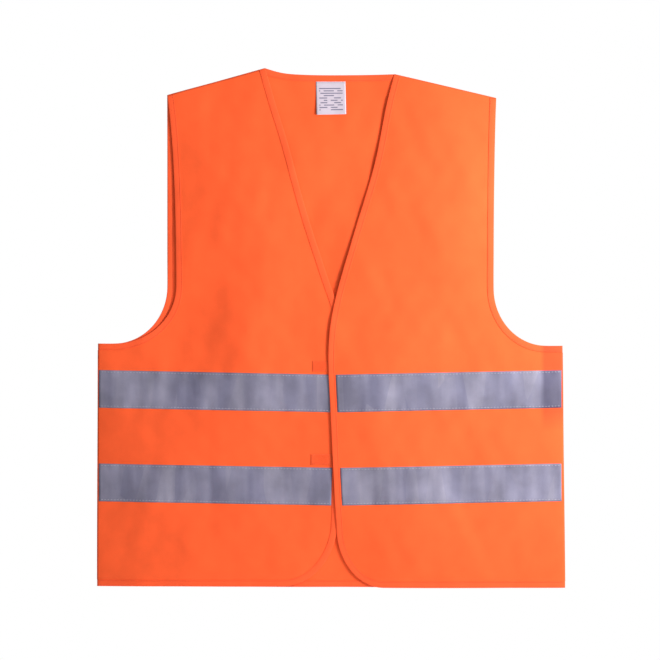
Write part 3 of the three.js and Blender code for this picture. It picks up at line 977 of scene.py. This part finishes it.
def patch(node, cloth, outside, material, body):
    """A hook or loop patch sewn flat on the cloth, with its pile and a row of stitches."""
    low, high = corners(node)
    sign = cloth.faces if outside else -cloth.faces

    def surface(x, z, height):
        return cloth.face(x, z, height if outside else -height)

    columns, rows = np.linspace(low[0], high[0], 57), np.linspace(low[2], high[2], 29)
    x, z = np.meshgrid(columns, rows, indexing="ij")
    y = surface(x, z, NEAR + PATCH / 2)
    backing = woven(f"{node}_backing", x, y, z, sign, material, PATCH)
    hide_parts(node)
    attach(backing, body)

    pile = []
    top = NEAR + PATCH
    start, end = 1.8, 1.4  # bare edges of the patch
    spread = 0.2
    for px in np.arange(low[0] + start, high[0] - end, 1.05):
        for pz in np.arange(low[2] + start, high[2] - end, 0.95):
            cx, cz = px + rng.uniform(-spread, spread), pz + rng.uniform(-spread, spread)
            turn = rng.uniform(0, math.pi) if outside else 0.0
            pile.append(bristle(cx, float(surface(cx, cz, top)), cz, sign, turn))
    tufts = made(f"{node}_pile", *joined(pile), material)
    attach(tufts, body)

    inset = 1.1
    x_low, x_high, z_low, z_high = low[0] + inset, high[0] - inset, low[2] + inset, high[2] - inset
    ring = [(x_low, z_low), (x_high, z_low), (x_high, z_high), (x_low, z_high), (x_low, z_low)]
    rows = [
        stitches(np.array(side), lambda x, z: surface(x, z, top), sign, 1.9, 2.6)
        for side in zip(ring, ring[1:])
    ]
    thread = made(f"{node}_stitches", *joined(rows), orange_thread)
    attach(thread, body)


def bristle(x, y, z, sign, turn):
    """One small loop or hook of the pile: a bent flat strand that leaves the backing and comes
    back towards it."""
    height, reach, half, thick = 0.34, 0.32, 0.09, 0.09
    points = []
    arc = np.linspace(0, math.pi * 0.85, 5)
    for angle in arc:
        along = reach * (1 - math.cos(angle)) - 0.3
        up = height * math.sin(angle)
        for side in (-half, half):
            px = x + math.cos(turn) * along - math.sin(turn) * side
            pz = z + math.sin(turn) * along + math.cos(turn) * side
            points.append((px, y + sign * up, pz))
            points.append((px, y + sign * (up + thick), pz))
    faces = []
    for i in range(len(arc) - 1):
        a, b = 4 * i, 4 * (i + 1)
        faces += [(a, b, b + 2, a + 2), (a + 1, a + 3, b + 3, b + 1)]
        faces += [(a, a + 1, b + 1, b), (a + 2, b + 2, b + 3, a + 3)]
    last = 4 * (len(arc) - 1)
    faces += [(0, 2, 3, 1), (last, last + 1, last + 3, last + 2)]
    return np.array(points), faces


for side in ("left", "right"):
    front(side)
    armhole(side)
    seam(side, "side")
    seam(side, "shoulder")
back_pieces()
label()
for level in ("upper", "lower"):
    patch(f"{level}_hook_patch", left, False, hook_finish, "left_flap")
    patch(f"{level}_loop_patch", right, True, loop_finish, "right_flap")


# ---- Stage, light and camera ----

low, high = cad_bounds
centre = (low + high) / 2
height = high.z - low.z


def floor():
    """A pale disc some way below the vest, which hangs."""
    shader = Shader("pale_floor", 0.9)
    grain = shader.noise(40, 2)
    colour = shader.ramp(grain, (0.3, grey(0.86)), (0.7, grey(0.9)))
    below = (centre.x, 0, low.z - 0.32 * height)
    radius = 1.38 * height
    bpy.ops.mesh.primitive_cylinder_add(vertices=96, radius=radius, depth=0.01, location=below)
    disc = bpy.context.object
    disc.name = "floor"
    disc.data.materials.append(shader.finish(colour, []))


def lamp(name, place, size, power, colour):
    """A square lamp that aims at the middle of the vest. Its place is measured from there."""
    data = bpy.data.lights.new(name, "AREA")
    data.size = size
    data.energy = power
    data.color = colour
    lamp_object = bpy.data.objects.new(name, data)
    lamp_object.location = centre + Vector(place)
    aim = centre - lamp_object.location
    lamp_object.rotation_euler = aim.to_track_quat("-Z", "Y").to_euler()
    bpy.context.scene.collection.objects.link(lamp_object)


def studio():
    """A white background that lights less than it shows, a key lamp close to the wearer's left
    side, and a lamp behind."""
    world = bpy.data.worlds.new("white_studio")
    world.use_nodes = True
    world.node_tree.nodes["Background"].inputs["Color"].default_value = (1, 1, 1, 1)
    nodes, links = world.node_tree.nodes, world.node_tree.links
    seen = nodes.new("ShaderNodeLightPath").outputs["Is Camera Ray"]
    direction = nodes.new("ShaderNodeTexCoord").outputs["Generated"]
    parts = nodes.new("ShaderNodeSeparateXYZ")
    links.new(direction, parts.inputs[0])
    given = nodes.new("ShaderNodeMapRange")  # little light from the side away from the key
    for socket, value in (("From Min", -0.3), ("From Max", 0.3), ("To Min", 0.2), ("To Max", 0.9)):
        given.inputs[socket].default_value = value
    links.new(parts.outputs["X"], given.inputs["Value"])
    strength = nodes.new("ShaderNodeMapRange")
    strength.inputs["To Max"].default_value = 1.0  # the white background
    links.new(given.outputs["Result"], strength.inputs["To Min"])
    links.new(seen, strength.inputs["Value"])
    links.new(strength.outputs["Result"], nodes["Background"].inputs["Strength"])
    bpy.context.scene.world = world
    lamp("key", (0.74, -0.5, 0.2), 0.25, 12.4, (1.0, 0.99, 0.93))
    lamp("back_light", (-0.7, 1.3, 0.5), 0.5, 16.0, (1.0, 1.0, 1.0))


def camera():
    """A long lens straight in front of the vest."""
    data = bpy.data.cameras.new("camera")
    distance = 5.8 * height
    view_width = 1.27 * height
    data.sensor_width = 36
    data.lens = data.sensor_width * distance / view_width
    camera_object = bpy.data.objects.new("camera", data)
    camera_object.location = centre + Vector((-0.002 * height, -distance, -0.004 * height))
    camera_object.rotation_euler = (math.radians(90), 0, 0)
    bpy.context.scene.collection.objects.link(camera_object)
    bpy.context.scene.camera = camera_object


floor()
studio()
camera()
bpy.context.scene.view_settings.view_transform = "Standard"
